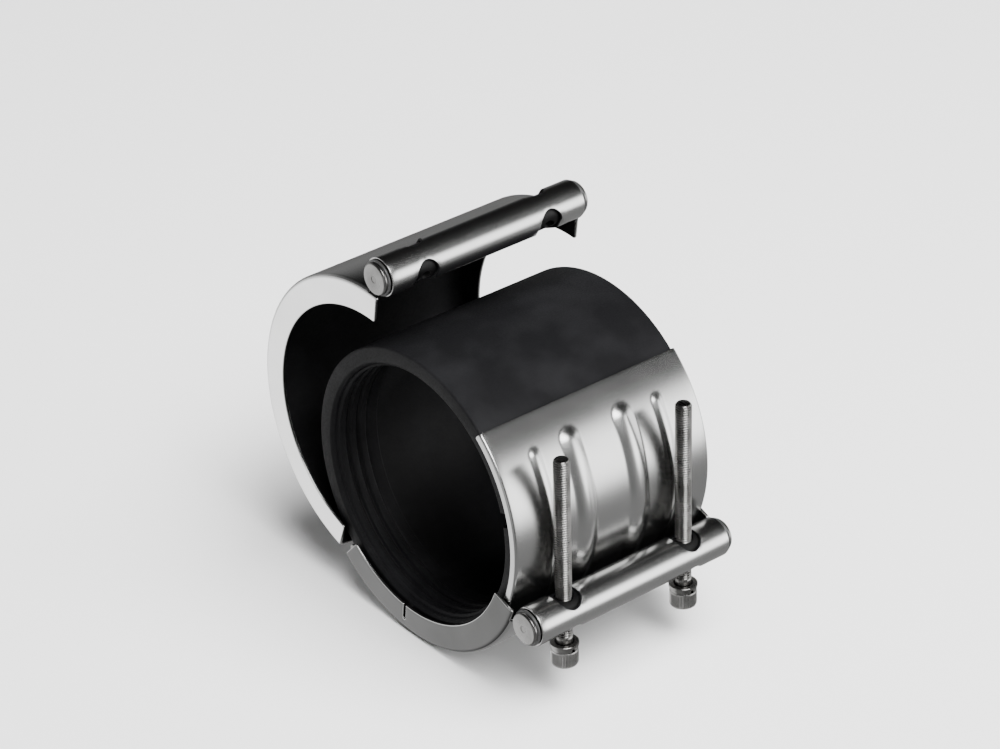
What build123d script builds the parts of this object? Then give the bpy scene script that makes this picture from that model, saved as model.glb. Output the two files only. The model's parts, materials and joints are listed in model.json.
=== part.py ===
from build123d import *
import math
import os

# Wrap-around pipe coupling, standing open round the pipe it is about to close on.
# +X runs along the pipe, +Y away from the lock, +Z up.
# The origin is the middle of the sealing sleeve's bore. Angles turn from +Y towards +Z.
# Left pieces lie at -X and right pieces at +X. Sizes are in millimetres and degrees.

# pipe and sealing sleeve
pipe_od = 101.6
lip_slack = 10.1
lip_r = pipe_od / 2 + lip_slack
sleeve_wall = 10.6
sleeve_r = lip_r + sleeve_wall
sleeve_width = 115.0
sleeve_web = 4.5
ridge_depth = 1.5
ridge_width = 3.0
ridge_pitch = 6.0
ridge_count = 3
sleeve_chamfer = 1.5
lip_block_margin = 1.5
tongue_length = 5.0
tongue_thick = 2.2
pocket_reach = 12.0
slit_angle = 165.0
slit_gap = 8.0

# bridging strip that covers the sleeve's slit
strip_t = 1.0
strip_fit = 0.1
strip_r = sleeve_r + strip_fit + strip_t
strip_side = 0.1
strip_hem = 3.5
strip_top = 130.4
strip_foot = 228.0
bead_top = 145.4
bead_foot = 213.0
narrow_bead_width = 7.0
narrow_bead_height = 0.8
wide_bead_x = 15.7
wide_bead_width = 12.0
wide_bead_height = 1.6

# sheet casing
sheet_t = 1.5
case_gap = 4.1
case_r = strip_r + case_gap + sheet_t
case_side = 0.5
case_width = sleeve_width + 2 * (strip_side + strip_t + case_side + sheet_t)
flange_depth = 14.3
bend_in = 1.5
notch_angle = 275.0
notch_width = 1.6
notch_depth = 8.5

# lock bars in their rolled loops
bar_r = 8.0
running_fit = 0.08
loop_in = bar_r + running_fit
loop_out = loop_in + sheet_t
bar_ring = case_r + loop_in
lower_bar_angle = 201.5
upper_bar_angle = 120.5
bar_length = case_width
bar_chamfer = 0.8
loop_length = 114.0
tip_overrun = 1.5
wire_r = 0.8
wire_gap_angle = 40.0
wire_fit = 0.03
wire_end_gap = 0.3
part_gap = 0.4

# screws, their washers and retainers
screw_r = 3.95
screw_pitch = 73.0
screw_length = 100.0
screw_lean = 88.0
screw_tip_chamfer = 0.9
head_r = 6.5
head_h = 8.0
head_seat = 20.2
hex_flats = 6.0
hex_depth = 4.0
head_chamfer = 0.6
washer_r = 6.8
washer_hole_r = 4.3
washer_t = 1.6
spring_washer_r = 6.35
spring_washer_t = 2.0
spring_washer_split = 1.2
spring_washer_slant = 25.0
clear_r = 4.4
slot_r = 6.2
thread_core_r = 3.4
lower_slot_in = 18.0
lower_slot_out = 16.0
upper_slot_in = 32.0
upper_slot_out = 6.0
upper_bar_rest = -12.0
retainer_r = 5.5
retainer_t = 2.4
retainer_bore = screw_r + 0.05

# hinge between the two halves of the casing
open_angle = 25.5
hinge_angle = -48.0
half_gap = 1.0
pin_r = 2.0
press_fit = 0.02
knuckle_r = 3.55
knuckle_lift = 0.4
pin_ring = case_r + knuckle_r + knuckle_lift
leaf_t = 1.5
leaf_lift = 0.05
leaf_start = 5.0
leaf_end = 18.0
leaf_root = 0.6
leaf_width = 100.0
knuckle_count = 5
knuckle_gap = 0.4
clip_r = 3.6
clip_t = 0.8
clip_slot = 2.6

screw_places = {"left": -screw_pitch / 2, "right": screw_pitch / 2}
end_signs = {"left": -1, "right": 1}


def ring_point(radius, angle):
    turn = math.radians(angle)
    return radius * math.cos(turn), radius * math.sin(turn)


def section(points):
    # a closed outline in the plane of the axis: first value along X, second the radius
    return make_face(Polyline(*points, close=True))


def band(x_low, x_high, r_low, r_high):
    return section([(x_low, r_low), (x_high, r_low), (x_high, r_high), (x_low, r_high)])


def sector(face, start, end):
    return Rot(start, 0, 0) * revolve(face, Axis.X, end - start)


def along_x(x, centre, radius, length):
    return Pos(x, centre[0], centre[1]) * Rot(0, 90, 0) * Cylinder(radius, length)


def across(x, centre, angle, low, high, radius):
    # a round bar or hole square to X, from low to high along the direction given by angle
    place = Pos(x, centre[0], centre[1]) * Rot(angle - 90, 0, 0)
    return place * Pos(0, 0, (low + high) / 2) * Cylinder(radius, high - low)


lower_bar = ring_point(bar_ring, lower_bar_angle)
upper_bar = ring_point(bar_ring, upper_bar_angle)
hinge = ring_point(pin_ring, hinge_angle)
chord_angle = math.degrees(math.atan2(upper_bar[1] - lower_bar[1], upper_bar[0] - lower_bar[0]))


def opened(piece):
    # swings a piece of the upper half from the closed ring out to where it stands open
    away = Pos(0, -hinge[0], -hinge[1])
    back = Pos(0, hinge[0], hinge[1])
    return back * Rot(-open_angle, 0, 0) * away * piece


def casing_section():
    half = case_width / 2
    flange_r = case_r - flange_depth
    outer = band(-half, half, flange_r, case_r)
    corners = outer.vertices().sort_by(Axis.Y)[-2:]
    outer = fillet(corners, bend_in + sheet_t)
    inner = band(-half + sheet_t, half - sheet_t, flange_r - sheet_t, case_r - sheet_t)
    corners = inner.vertices().sort_by(Axis.Y)[-2:]
    inner = fillet(corners, bend_in)
    return outer - inner


def loop_tube(centre):
    return along_x(0, centre, loop_out, loop_length)


def bar_room(centre):
    # the bar's own bore through the loop, and space for its ends and wire rings outside it
    room = along_x(0, centre, loop_in, loop_length + 1)
    end_length = (case_width - loop_length) / 2 + 1
    end_centre = loop_length / 2 + end_length / 2
    for sign in end_signs.values():
        room += along_x(sign * end_centre, centre, bar_r + wire_r + part_gap, end_length)
    return room


def screw_slots(centre, low, high):
    # a hole right through the loop, swept about the bar from one angle to the other
    reach = loop_out + sheet_t
    slots = None
    for x in screw_places.values():
        for start, end in ((low, high), (low + 180, high + 180)):
            sweep = sector(band(x - slot_r, x + slot_r, sheet_t, reach), start, end)
            slot = Pos(0, centre[0], centre[1]) * sweep
            slot += across(x, centre, start, 0, reach, slot_r)
            slot += across(x, centre, end, 0, reach, slot_r)
            slots = slot if slots is None else slots + slot
    return slots


def lower_shell():
    start = lower_bar_angle - tip_overrun
    end = 360 + hinge_angle - half_gap
    shell = sector(casing_section(), start, end) + loop_tube(lower_bar)
    shell -= bar_room(lower_bar)
    shell -= screw_slots(lower_bar, screw_lean - lower_slot_in, screw_lean + lower_slot_out)
    flange_r = case_r - flange_depth
    y, z = ring_point(flange_r + notch_depth / 2, notch_angle)
    for sign in end_signs.values():
        notch = Box(4 * sheet_t, notch_depth + 1, notch_width)
        shell -= Pos(sign * case_width / 2, y, z) * Rot(notch_angle, 0, 0) * notch
    return shell


def upper_shell():
    start = hinge_angle + half_gap
    end = upper_bar_angle + tip_overrun
    shell = sector(casing_section(), start, end) + loop_tube(upper_bar)
    shell -= bar_room(upper_bar)
    shell -= screw_slots(upper_bar, chord_angle - upper_slot_in, chord_angle + upper_slot_out)
    return opened(shell)


def sleeve_section():
    half = sleeve_width / 2
    land_r = lip_r + ridge_depth
    points = [(half, sleeve_r), (half, land_r + sleeve_chamfer), (half - sleeve_chamfer, land_r)]
    x = half - 2 * sleeve_chamfer
    for ridge in range(ridge_count):
        points.append((x, land_r))
        points.append((x - ridge_depth / 2, lip_r))
        points.append((x - ridge_depth / 2 - ridge_width, lip_r))
        points.append((x - ridge_depth - ridge_width, land_r))
        x -= ridge_pitch
    block_end = x + ridge_pitch - ridge_depth - ridge_width - lip_block_margin
    tongue_end = block_end - tongue_length
    points.append((block_end, lip_r + ridge_depth / 2))
    points.append((tongue_end, lip_r))
    points.append((tongue_end, lip_r + tongue_thick))
    points.append((tongue_end + pocket_reach, sleeve_r - sleeve_web - tongue_thick / 2))
    points.append((tongue_end, sleeve_r - sleeve_web))
    mirrored = [(-x_point, r_point) for x_point, r_point in reversed(points)]
    return section(points + mirrored)


def sealing_sleeve():
    half_slit = math.degrees(slit_gap / 2 / sleeve_r)
    return sector(sleeve_section(), slit_angle + half_slit, slit_angle + 360 - half_slit)


def bead(x, width, height, sink):
    # a rounded rib run round the strip, with ball ends; sink makes it the hollow under the rib
    curve_r = (width ** 2 / 4 + height ** 2) / (2 * height)
    track = strip_r + height - curve_r
    round_face = Pos(x, track) * Circle(curve_r - sink)
    rib = sector(round_face, bead_top, bead_foot)
    for angle in (bead_top, bead_foot):
        y, z = ring_point(track, angle)
        rib += Pos(x, y, z) * Sphere(curve_r - sink)
    return rib


def strip_beads(sink):
    ribs = []
    for sign in end_signs.values():
        ribs.append(bead(sign * screw_pitch / 2, narrow_bead_width, narrow_bead_height, sink))
        ribs.append(bead(sign * wide_bead_x, wide_bead_width, wide_bead_height, sink))
    return ribs


def strip_insert():
    half = sleeve_width / 2 + strip_side + strip_t
    outer = band(-half, half, strip_r - strip_t - strip_hem, strip_r)
    outer = fillet(outer.vertices().sort_by(Axis.Y)[-2:], strip_t)
    inner = band(-half + strip_t, half - strip_t, strip_r - 3 * strip_hem, strip_r - strip_t)
    strip = sector(outer - inner, strip_top, strip_foot)
    skin = band(-half, half, strip_r - strip_t / 2, strip_r + 2 * wide_bead_height)
    above = sector(skin, strip_top, strip_foot)
    for rib in strip_beads(0):
        strip += rib & above
    for rib in strip_beads(strip_t):
        strip -= rib
    return strip


def plain_bar(centre):
    bar = Cylinder(bar_r, bar_length)
    bar = chamfer(bar.edges().filter_by(GeomType.CIRCLE), bar_chamfer)
    bar = Pos(0, centre[0], centre[1]) * Rot(0, 90, 0) * bar
    for sign in end_signs.values():
        groove = Torus(bar_r, wire_r + wire_fit)
        bar -= Pos(sign * wire_x(), centre[0], centre[1]) * Rot(0, 90, 0) * groove
    return bar


def wire_x():
    return loop_length / 2 + wire_end_gap + wire_r


def lower_lock_bar():
    bar = plain_bar(lower_bar)
    for x in screw_places.values():
        bar -= across(x, lower_bar, screw_lean, -2 * bar_r, 2 * bar_r, clear_r)
        half = retainer_t / 2 + wire_fit
        bar -= across(x, lower_bar, screw_lean, -half, half, retainer_r + wire_fit)
    return bar


def upper_lock_bar():
    bar = plain_bar(upper_bar)
    for x in screw_places.values():
        bar -= across(x, upper_bar, chord_angle + upper_bar_rest, -2 * bar_r, 2 * bar_r, thread_core_r)
    return opened(bar)


def wire_ring(sign, centre):
    circle = Pos(0, bar_r) * Circle(wire_r)
    ring = sector(circle, wire_gap_angle / 2, 360 - wire_gap_angle / 2)
    return Pos(sign * wire_x(), centre[0], centre[1]) * ring


def screw(x):
    shank = across(x, lower_bar, screw_lean, -head_seat, screw_length - head_seat, screw_r)
    tip = shank.edges().filter_by(GeomType.CIRCLE).sort_by(Axis.Z)[-1]
    shank = chamfer(tip, screw_tip_chamfer)
    head = across(x, lower_bar, screw_lean, -head_seat - head_h, -head_seat, head_r)
    rim = head.edges().filter_by(GeomType.CIRCLE).sort_by(Axis.Z)[0]
    head = chamfer(rim, head_chamfer)
    key = extrude(RegularPolygon(hex_flats / math.sqrt(3), 6), hex_depth)
    place = Pos(x, lower_bar[0], lower_bar[1]) * Rot(screw_lean - 90, 0, 0)
    socket = place * Pos(0, 0, -head_seat - head_h) * key
    return shank + head - socket


def plain_washer(x):
    low = -head_seat + spring_washer_t
    washer = across(x, lower_bar, screw_lean, low, low + washer_t, washer_r)
    return washer - across(x, lower_bar, screw_lean, low - 1, low + washer_t + 1, washer_hole_r)


def spring_washer(x):
    low = -head_seat
    high = low + spring_washer_t
    washer = across(x, lower_bar, screw_lean, low, high, spring_washer_r)
    washer -= across(x, lower_bar, screw_lean, low - 1, high + 1, washer_hole_r)
    place = Pos(x, lower_bar[0], lower_bar[1]) * Rot(screw_lean - 90, 0, 0)
    middle = (washer_hole_r + spring_washer_r) / 2
    split = Pos(0, -middle, (low + high) / 2) * Rot(0, spring_washer_slant, 0)
    split *= Box(spring_washer_split, 2 * spring_washer_r - 2 * washer_hole_r, 3 * spring_washer_t)
    return washer - place * split


def screw_retainer(x):
    half = retainer_t / 2
    ring = across(x, lower_bar, screw_lean, -half, half, retainer_r)
    return ring - across(x, lower_bar, screw_lean, -half - 1, half + 1, retainer_bore)


def hinge_leaf(side):
    # side -1 is the leaf on the lower shell with the outer knuckles, +1 the one on the upper shell
    low_r = case_r + leaf_lift
    edges = sorted((hinge_angle + side * leaf_start, hinge_angle + side * leaf_end))
    leaf = sector(band(-leaf_width / 2, leaf_width / 2, low_r, low_r + leaf_t), *edges)
    pitch = leaf_width / knuckle_count
    fingers = sorted((hinge_angle + side * leaf_root, hinge_angle + side * (leaf_start + leaf_root)))
    bore = pin_r + (press_fit if side < 0 else running_fit)
    for index in range(0 if side < 0 else 1, knuckle_count, 2):
        low_x = -leaf_width / 2 + index * pitch + knuckle_gap / 2
        high_x = low_x + pitch - knuckle_gap
        leaf += sector(band(low_x, high_x, low_r, low_r + leaf_t), *fingers)
        leaf += along_x((low_x + high_x) / 2, hinge, knuckle_r, high_x - low_x)
    leaf -= along_x(0, hinge, bore, leaf_width + 2)
    for index in range(1 if side < 0 else 0, knuckle_count, 2):
        middle_x = -leaf_width / 2 + (index + 0.5) * pitch
        leaf -= along_x(middle_x, hinge, knuckle_r + part_gap, pitch)
    return leaf


def hinge_pin():
    half = leaf_width / 2 + 2 * clip_t + 1
    pin = Cylinder(pin_r, 2 * half)
    pin = chamfer(pin.edges().filter_by(GeomType.CIRCLE), pin_r / 4)
    pin = Pos(0, hinge[0], hinge[1]) * Rot(0, 90, 0) * pin
    for sign in end_signs.values():
        groove = along_x(sign * clip_x(), hinge, pin_r + 1, clip_t + 2 * press_fit)
        pin -= groove - along_x(sign * clip_x(), hinge, pin_r - clip_bite(), clip_t + 1)
    return pin


def clip_x():
    return leaf_width / 2 + part_gap / 2 + clip_t / 2


def clip_bite():
    return pin_r / 4


def pin_clip(sign):
    clip = along_x(sign * clip_x(), hinge, clip_r, clip_t)
    clip -= along_x(sign * clip_x(), hinge, pin_r - clip_bite() + press_fit, clip_t + 1)
    mouth = Pos(0, clip_r / 2, 0) * Box(clip_t + 1, clip_r, clip_slot)
    return clip - Pos(sign * clip_x(), hinge[0], hinge[1]) * Rot(hinge_angle, 0, 0) * mouth


def all_parts():
    parts = {
        "lower_shell": lower_shell(),
        "upper_shell": upper_shell(),
        "lower_hinge_leaf": hinge_leaf(-1),
        "upper_hinge_leaf": opened(hinge_leaf(1)),
        "hinge_pin": hinge_pin(),
        "sealing_sleeve": sealing_sleeve(),
        "strip_insert": strip_insert(),
        "lower_lock_bar": lower_lock_bar(),
        "upper_lock_bar": upper_lock_bar(),
    }
    for side, sign in end_signs.items():
        x = screw_places[side]
        parts[f"{side}_screw"] = screw(x)
        parts[f"{side}_washer"] = plain_washer(x)
        parts[f"{side}_spring_washer"] = spring_washer(x)
        parts[f"{side}_screw_retainer"] = screw_retainer(x)
        parts[f"lower_bar_{side}_ring"] = wire_ring(sign, lower_bar)
        parts[f"upper_bar_{side}_ring"] = opened(wire_ring(sign, upper_bar))
        parts[f"hinge_pin_{side}_clip"] = pin_clip(sign)
    return parts


os.makedirs("parts", exist_ok=True)
for name, solid in all_parts().items():
    export_step(solid, f"parts/{name}.step")
    print(name, round(solid.volume, 1))
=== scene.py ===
# %% [markdown]
# # A wrap-around pipe coupling, standing open
# A sheet steel casing in two hinged halves, a slit rubber sleeve, a beaded bridging strip, and two
# round lock bars drawn together by long screws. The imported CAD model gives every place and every
# joint; this script builds the looks round it: real sheet thickness, rolled edges, threads, finishes.

# %% Load the frame
import bpy
import bmesh
import json
import math
import numpy as np
from mathutils import Matrix, Vector
from mathutils.geometry import delaunay_2d_cdt


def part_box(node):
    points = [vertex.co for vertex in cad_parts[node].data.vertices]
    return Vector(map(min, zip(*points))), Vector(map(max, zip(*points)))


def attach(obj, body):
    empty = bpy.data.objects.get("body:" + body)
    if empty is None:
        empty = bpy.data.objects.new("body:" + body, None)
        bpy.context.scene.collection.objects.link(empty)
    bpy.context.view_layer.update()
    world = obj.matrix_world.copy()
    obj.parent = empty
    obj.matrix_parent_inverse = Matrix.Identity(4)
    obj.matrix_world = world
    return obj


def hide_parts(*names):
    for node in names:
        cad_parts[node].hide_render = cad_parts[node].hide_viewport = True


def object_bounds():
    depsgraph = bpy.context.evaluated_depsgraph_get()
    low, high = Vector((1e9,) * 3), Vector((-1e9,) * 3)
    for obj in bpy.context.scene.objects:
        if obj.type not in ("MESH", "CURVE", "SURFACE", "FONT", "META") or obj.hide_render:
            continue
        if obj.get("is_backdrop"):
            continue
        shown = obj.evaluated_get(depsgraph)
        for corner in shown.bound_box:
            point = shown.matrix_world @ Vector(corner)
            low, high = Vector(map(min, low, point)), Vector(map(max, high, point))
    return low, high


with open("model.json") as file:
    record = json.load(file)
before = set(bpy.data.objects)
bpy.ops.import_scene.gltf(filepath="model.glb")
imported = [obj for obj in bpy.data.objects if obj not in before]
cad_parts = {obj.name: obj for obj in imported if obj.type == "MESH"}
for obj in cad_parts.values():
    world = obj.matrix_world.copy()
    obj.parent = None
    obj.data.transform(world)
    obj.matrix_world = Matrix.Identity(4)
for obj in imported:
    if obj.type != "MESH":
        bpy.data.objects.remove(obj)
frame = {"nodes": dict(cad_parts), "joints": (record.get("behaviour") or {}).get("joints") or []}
cad_low, cad_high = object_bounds()
joints = {joint["name"]: joint for joint in frame["joints"]}
print("pieces in the frame:", len(frame["nodes"]), "joints:", len(joints))

# %% [markdown]
# ## Sizes
# The frame says where the hinge pin and the two lock bars are. Everything else follows from the
# real stock the coupling is made of: 1.5 mm casing sheet, 1 mm strip, 16 mm bars and M8 screws.
# Lengths are in metres, so a millimetre value is written as a number times MM.

# %% Driving sizes
MM = 0.001
hinge = Vector(joints["casing_hinge"]["pos_m"])
lower_bar = Vector(joints["lower_bar_turn"]["pos_m"])
upper_bar = Vector(joints["upper_bar_turn"]["pos_m"])
open_angle = math.radians(joints["casing_hinge"]["range_deg"][1])
screw_axis = Vector(joints["left_screw_slide"]["axis"]).normalized()
lower_out = math.radians(joints["lower_bar_turn"]["range_deg"][1])
# the lower slots reach further in than the open strip lets the screws swing
lower_in = math.radians(18.0)
upper_back, upper_on = (math.radians(limit) for limit in joints["upper_bar_turn"]["range_deg"])
screw_x = joints["right_screw_spin"]["pos_m"][0]

sheet_t = 1.5 * MM
bend_in = 1.5 * MM
flange_depth = 14.3 * MM
running_fit = 0.08 * MM
bar_r = 8.0 * MM
loop_in = bar_r + running_fit
case_r = math.hypot(lower_bar.y, lower_bar.z) - loop_in
case_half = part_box("lower_shell")[1].x
loop_half = 57.0 * MM
tip_overrun = math.radians(1.5)
half_gap = math.radians(1.0)

strip_t = 1.0 * MM
strip_gap = 4.1 * MM
strip_r = case_r - sheet_t - strip_gap
strip_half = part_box("strip_insert")[1].x
strip_top = math.radians(130.4)
strip_foot = math.radians(228.0)
sleeve_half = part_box("sealing_sleeve")[1].x
strip_fit = 0.1 * MM
sleeve_wall = 10.6 * MM
sleeve_r = strip_r - strip_t - strip_fit
lip_r = sleeve_r - sleeve_wall

case_mid_r = case_r - sheet_t / 2
print("casing radius", round(case_r / MM, 1), "mm, half width", round(case_half / MM, 1), "mm")


def ring_place(radius, angle, centre=(0.0, 0.0)):
    return Vector((0, centre[0] + radius * math.cos(angle), centre[1] + radius * math.sin(angle)))


def swung_open(point):
    # where a point of the upper half goes when the half swings out about the hinge pin
    return Matrix.Rotation(-open_angle, 3, "X") @ (point - Vector((0, *hinge.yz))) + Vector((0, *hinge.yz))


upper_centre = swung_open(Vector((0, 0, 0))).yz
lower_bar_angle = math.atan2(lower_bar.z, lower_bar.y) % (2 * math.pi)
upper_bar_angle = math.atan2(upper_bar.z - upper_centre[1], upper_bar.y - upper_centre[0])
hinge_angle = math.atan2(hinge.z, hinge.y)

# %% [markdown]
# ## Looking at it
# A long lens from the front left, a little above, where the open mouth, the strip and both lock bars
# are all seen. A long lens keeps the near and the far end of the casing close to the same size. The
# camera is made first, so that every piece can be judged by it.

# %% Camera
view_azimuth = math.radians(-40.0)
view_elevation = math.radians(31.4)
view_distance = 1.7286
look_at = Vector((-0.0114, -0.0054, 0.0484))
camera = bpy.data.objects.new("camera", bpy.data.cameras.new("camera"))
camera.data.sensor_width = 36.0
camera.data.lens = 135.8
toward = Vector((math.sin(view_azimuth) * math.cos(view_elevation),
                 -math.cos(view_azimuth) * math.cos(view_elevation),
                 math.sin(view_elevation)))
camera.location = look_at + toward * view_distance
camera.rotation_euler = (-toward).to_track_quat("-Z", "Y").to_euler()
bpy.context.collection.objects.link(camera)
bpy.context.scene.camera = camera
print("camera at", [round(c, 3) for c in camera.location])

# %% [markdown]
# ## Mesh helpers
# Nearly every piece here is sheet metal or turned bar, so three helpers do most of the work:
# a mesh from points and faces, a turned piece from a list of rings, and a rolled sheet.

# %% Meshes and shading
SMOOTH_LIMIT = math.radians(32)


def new_piece(name, verts, faces, materials=(), indices=None, uvs=None, sharp=SMOOTH_LIMIT):
    mesh = bpy.data.meshes.new(name)
    mesh.from_pydata([tuple(v) for v in verts], [], faces)
    for material in materials:
        mesh.materials.append(material)
    if indices is not None:
        mesh.polygons.foreach_set("material_index", indices)
    if uvs is not None:
        layer = mesh.uv_layers.new(name="blank")
        corners = np.array([uvs[loop.vertex_index] for loop in mesh.loops]).ravel()
        layer.data.foreach_set("uv", corners)
    work = bmesh.new()
    work.from_mesh(mesh)
    bmesh.ops.remove_doubles(work, verts=work.verts, dist=1e-7)
    bmesh.ops.recalc_face_normals(work, faces=work.faces)
    work.to_mesh(mesh)
    work.free()
    mesh.shade_smooth()
    mesh.set_sharp_from_angle(angle=sharp)
    piece = bpy.data.objects.new(name, mesh)
    bpy.context.collection.objects.link(piece)
    return piece


def settle(piece):
    # replaces the mesh by what its modifiers make of it
    graph = bpy.context.evaluated_depsgraph_get()
    made = bpy.data.meshes.new_from_object(piece.evaluated_get(graph))
    piece.modifiers.clear()
    piece.data = made
    return piece


def carve(piece, cutters, operation="DIFFERENCE"):
    for cutter in cutters:
        step = piece.modifiers.new("carve", "BOOLEAN")
        step.operation = operation
        step.solver = "EXACT"
        step.object = cutter
        step.material_mode = "TRANSFER"
    settle(piece)
    for cutter in cutters:
        bpy.data.objects.remove(cutter, do_unlink=True)
    piece.data.shade_smooth()
    piece.data.set_sharp_from_angle(angle=SMOOTH_LIMIT)
    return piece


def frame_along(origin, direction):
    # a matrix whose Z runs along direction, with its X along the pipe where it can
    z = direction.normalized()
    x = Vector((1, 0, 0)) if abs(z.x) < 0.9 else Vector((0, 1, 0))
    y = z.cross(x).normalized()
    x = y.cross(z)
    turn = Matrix((x, y, z)).transposed().to_4x4()
    return Matrix.Translation(origin) @ turn


def turned(name, rows, place, segments=96, materials=(), cap=(True, True), closed=False):
    # rows holds (z, radius) or (z, function of angle); every row becomes one ring of points
    verts, faces = [], []
    for z, radius in rows:
        for k in range(segments):
            angle = 2 * math.pi * k / segments
            r = radius(angle) if callable(radius) else radius
            verts.append(place @ Vector((r * math.cos(angle), r * math.sin(angle), z)))
    rings = len(rows)
    for row in range(rings if closed else rings - 1):
        low, high = row * segments, (row + 1) % rings * segments
        for k in range(segments):
            after = (k + 1) % segments
            faces.append((low + k, low + after, high + after, high + k))
    if not closed and cap[0]:
        faces.append(tuple(reversed(range(segments))))
    if not closed and cap[1]:
        faces.append(tuple(range((rings - 1) * segments, rings * segments)))
    return new_piece(name, verts, faces, materials)


def rounded(corners, steps=4):
    # corners holds (x, y, radius); gives the outline with each corner drawn as an arc
    points = []
    count = len(corners)
    for index, (x, y, radius) in enumerate(corners):
        here = Vector((x, y))
        before = Vector(corners[index - 1][:2]) - here
        after = Vector(corners[(index + 1) % count][:2]) - here
        turn = before.angle(after)
        if radius <= 0 or abs(turn - math.pi) < 1e-4:
            points.append(here)
            continue
        reach = min(radius / math.tan(turn / 2), 0.49 * before.length, 0.49 * after.length)
        radius = reach * math.tan(turn / 2)
        middle = here + (before.normalized() + after.normalized()).normalized() * radius / math.sin(turn / 2)
        start = here + before.normalized() * reach - middle
        end = here + after.normalized() * reach - middle
        sweep = start.angle_signed(end)
        for k in range(steps + 1):
            points.append(middle + Matrix.Rotation(-sweep * k / steps, 2) @ start)
    return points


def refine(loop, step):
    # adds points along straight runs, so that a long edge follows the roll
    points = []
    for index, here in enumerate(loop):
        after = loop[(index + 1) % len(loop)]
        count = max(1, math.ceil((after - here).length / step))
        points += [here.lerp(after, k / count) for k in range(count)]
    return points


# %% [markdown]
# ## Rolled sheet, the way the real one is made
# The casing, the strip and the hinge leaves all start as flat blanks: an outline with slots, cut from
# sheet, then folded and rolled. The helper does the same. It fills the flat blank with triangles,
# gives its cut edges a small radius, and then a rule carries every point of the blank (u across the
# width, v along the length, h through the thickness) to its place. Edges stay clean at any bend.

# %% Rolled sheet
EDGE_STEPS = 3
# twice the area in square metres under which a triangle counts as having no height
SLIVER = 2e-10


def loop_normals(loop):
    points = np.array([tuple(p) for p in loop])
    along = np.roll(points, -1, 0) - points
    along /= np.linalg.norm(along, axis=1)[:, None]
    normal = np.stack([-along[:, 1], along[:, 0]], 1)
    both = normal + np.roll(normal, 1, 0)
    both /= np.linalg.norm(both, axis=1)[:, None]
    stretch = 1 / np.clip((both * normal).sum(1), 0.5, 1)
    return points, both * stretch[:, None]


def inside(points, loop):
    x, y = points[:, 0], points[:, 1]
    result = np.zeros(len(points), bool)
    x0, y0 = loop[:, 0], loop[:, 1]
    x1, y1 = np.roll(x0, -1), np.roll(y0, -1)
    for ax, ay, bx, by in zip(x0, y0, x1, y1):
        if ay != by:
            result ^= ((ay > y) != (by > y)) & (x < (bx - ax) * (y - ay) / (by - ay) + ax)
    return result


def signed_area(loop):
    points = np.array([tuple(p) for p in loop])
    after = np.roll(points, -1, 0)
    return (points[:, 0] * after[:, 1] - after[:, 0] * points[:, 1]).sum() / 2


def rolled_sheet(name, outline, holes, thick, place, u_lines, v_lines, materials, skin=None, rim=0):
    edge = 0.3 * thick
    loops = [outline if signed_area(outline) > 0 else outline[::-1]]
    loops += [hole[::-1] if signed_area(hole) > 0 else hole for hole in holes]
    loops = [loop_normals(loop) for loop in loops]
    insets = [points + normal * edge for points, normal in loops]
    grid = np.array([(u, v) for u in u_lines for v in v_lines])
    keep = inside(grid, insets[0])
    for inset in insets[1:]:
        keep &= ~inside(grid, inset)
    for inset in insets:
        for point in inset:
            keep &= ((grid - point) ** 2).sum(1) > (0.6 * edge) ** 2
    flat = np.vstack(insets + [grid[keep]])
    joins, first = [], 0
    for inset in insets:
        joins += [(first + k, first + (k + 1) % len(inset)) for k in range(len(inset))]
        first += len(inset)
    found, _, triangles, _, _, _ = delaunay_2d_cdt([Vector(p) for p in flat], joins, [], 0, 1e-7)
    found = np.array([tuple(p) for p in found])
    triangles = np.array([t for t in triangles if len(t) == 3])
    centres = found[triangles].mean(1)
    good = inside(centres, insets[0])
    for inset in insets[1:]:
        good &= ~inside(centres, inset)
    # along a straight edge the filling can leave triangles without any height; they are dropped
    a, b, c = (found[triangles[:, k]] for k in range(3))
    twice_area = np.abs((b - a)[:, 0] * (c - a)[:, 1] - (b - a)[:, 1] * (c - a)[:, 0])
    triangles = triangles[good & (twice_area > SLIVER)]
    flats, verts, faces, indices = [], [], [], []
    count = len(found)
    for height in (thick / 2, -thick / 2):
        flats += [tuple(p) for p in found]
        verts += [place(u, v, height) for u, v in found]
    for a, b, c in triangles:
        u, v = (found[a] + found[b] + found[c]) / 3
        faces += [(a, b, c), (a + count, c + count, b + count)]
        indices += [skin(u, v, True), skin(u, v, False)] if skin else [0, 0]
    for which, (points, normal) in enumerate(loops):
        rings = []
        for k in range(2 * EDGE_STEPS + 2):
            top = k <= EDGE_STEPS
            step = k if top else k - EDGE_STEPS - 1
            angle = math.pi / 2 * (1 - step / EDGE_STEPS) if top else -math.pi / 2 * step / EDGE_STEPS
            inset = edge * (1 - math.cos(angle))
            height = (thick / 2 - edge) * (1 if top else -1) + edge * math.sin(angle)
            rings.append(len(verts))
            for point in points + normal * inset:
                flats.append(tuple(point))
                verts.append(place(point[0], point[1], height))
        size = len(points)
        for low, high in zip(rings, rings[1:]):
            for k in range(size):
                after = (k + 1) % size
                faces.append((low + k, low + after, high + after, high + k))
                indices.append(rim if which else 0)
    piece = new_piece(name, verts, faces, materials, indices, np.array(flats) * 10, math.radians(50))
    print(name, "faces:", len(piece.data.polygons))
    return piece


def spaced(low, high, step):
    count = max(1, round((high - low) / step))
    return [low + (high - low) * k / count for k in range(count + 1)]


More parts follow.
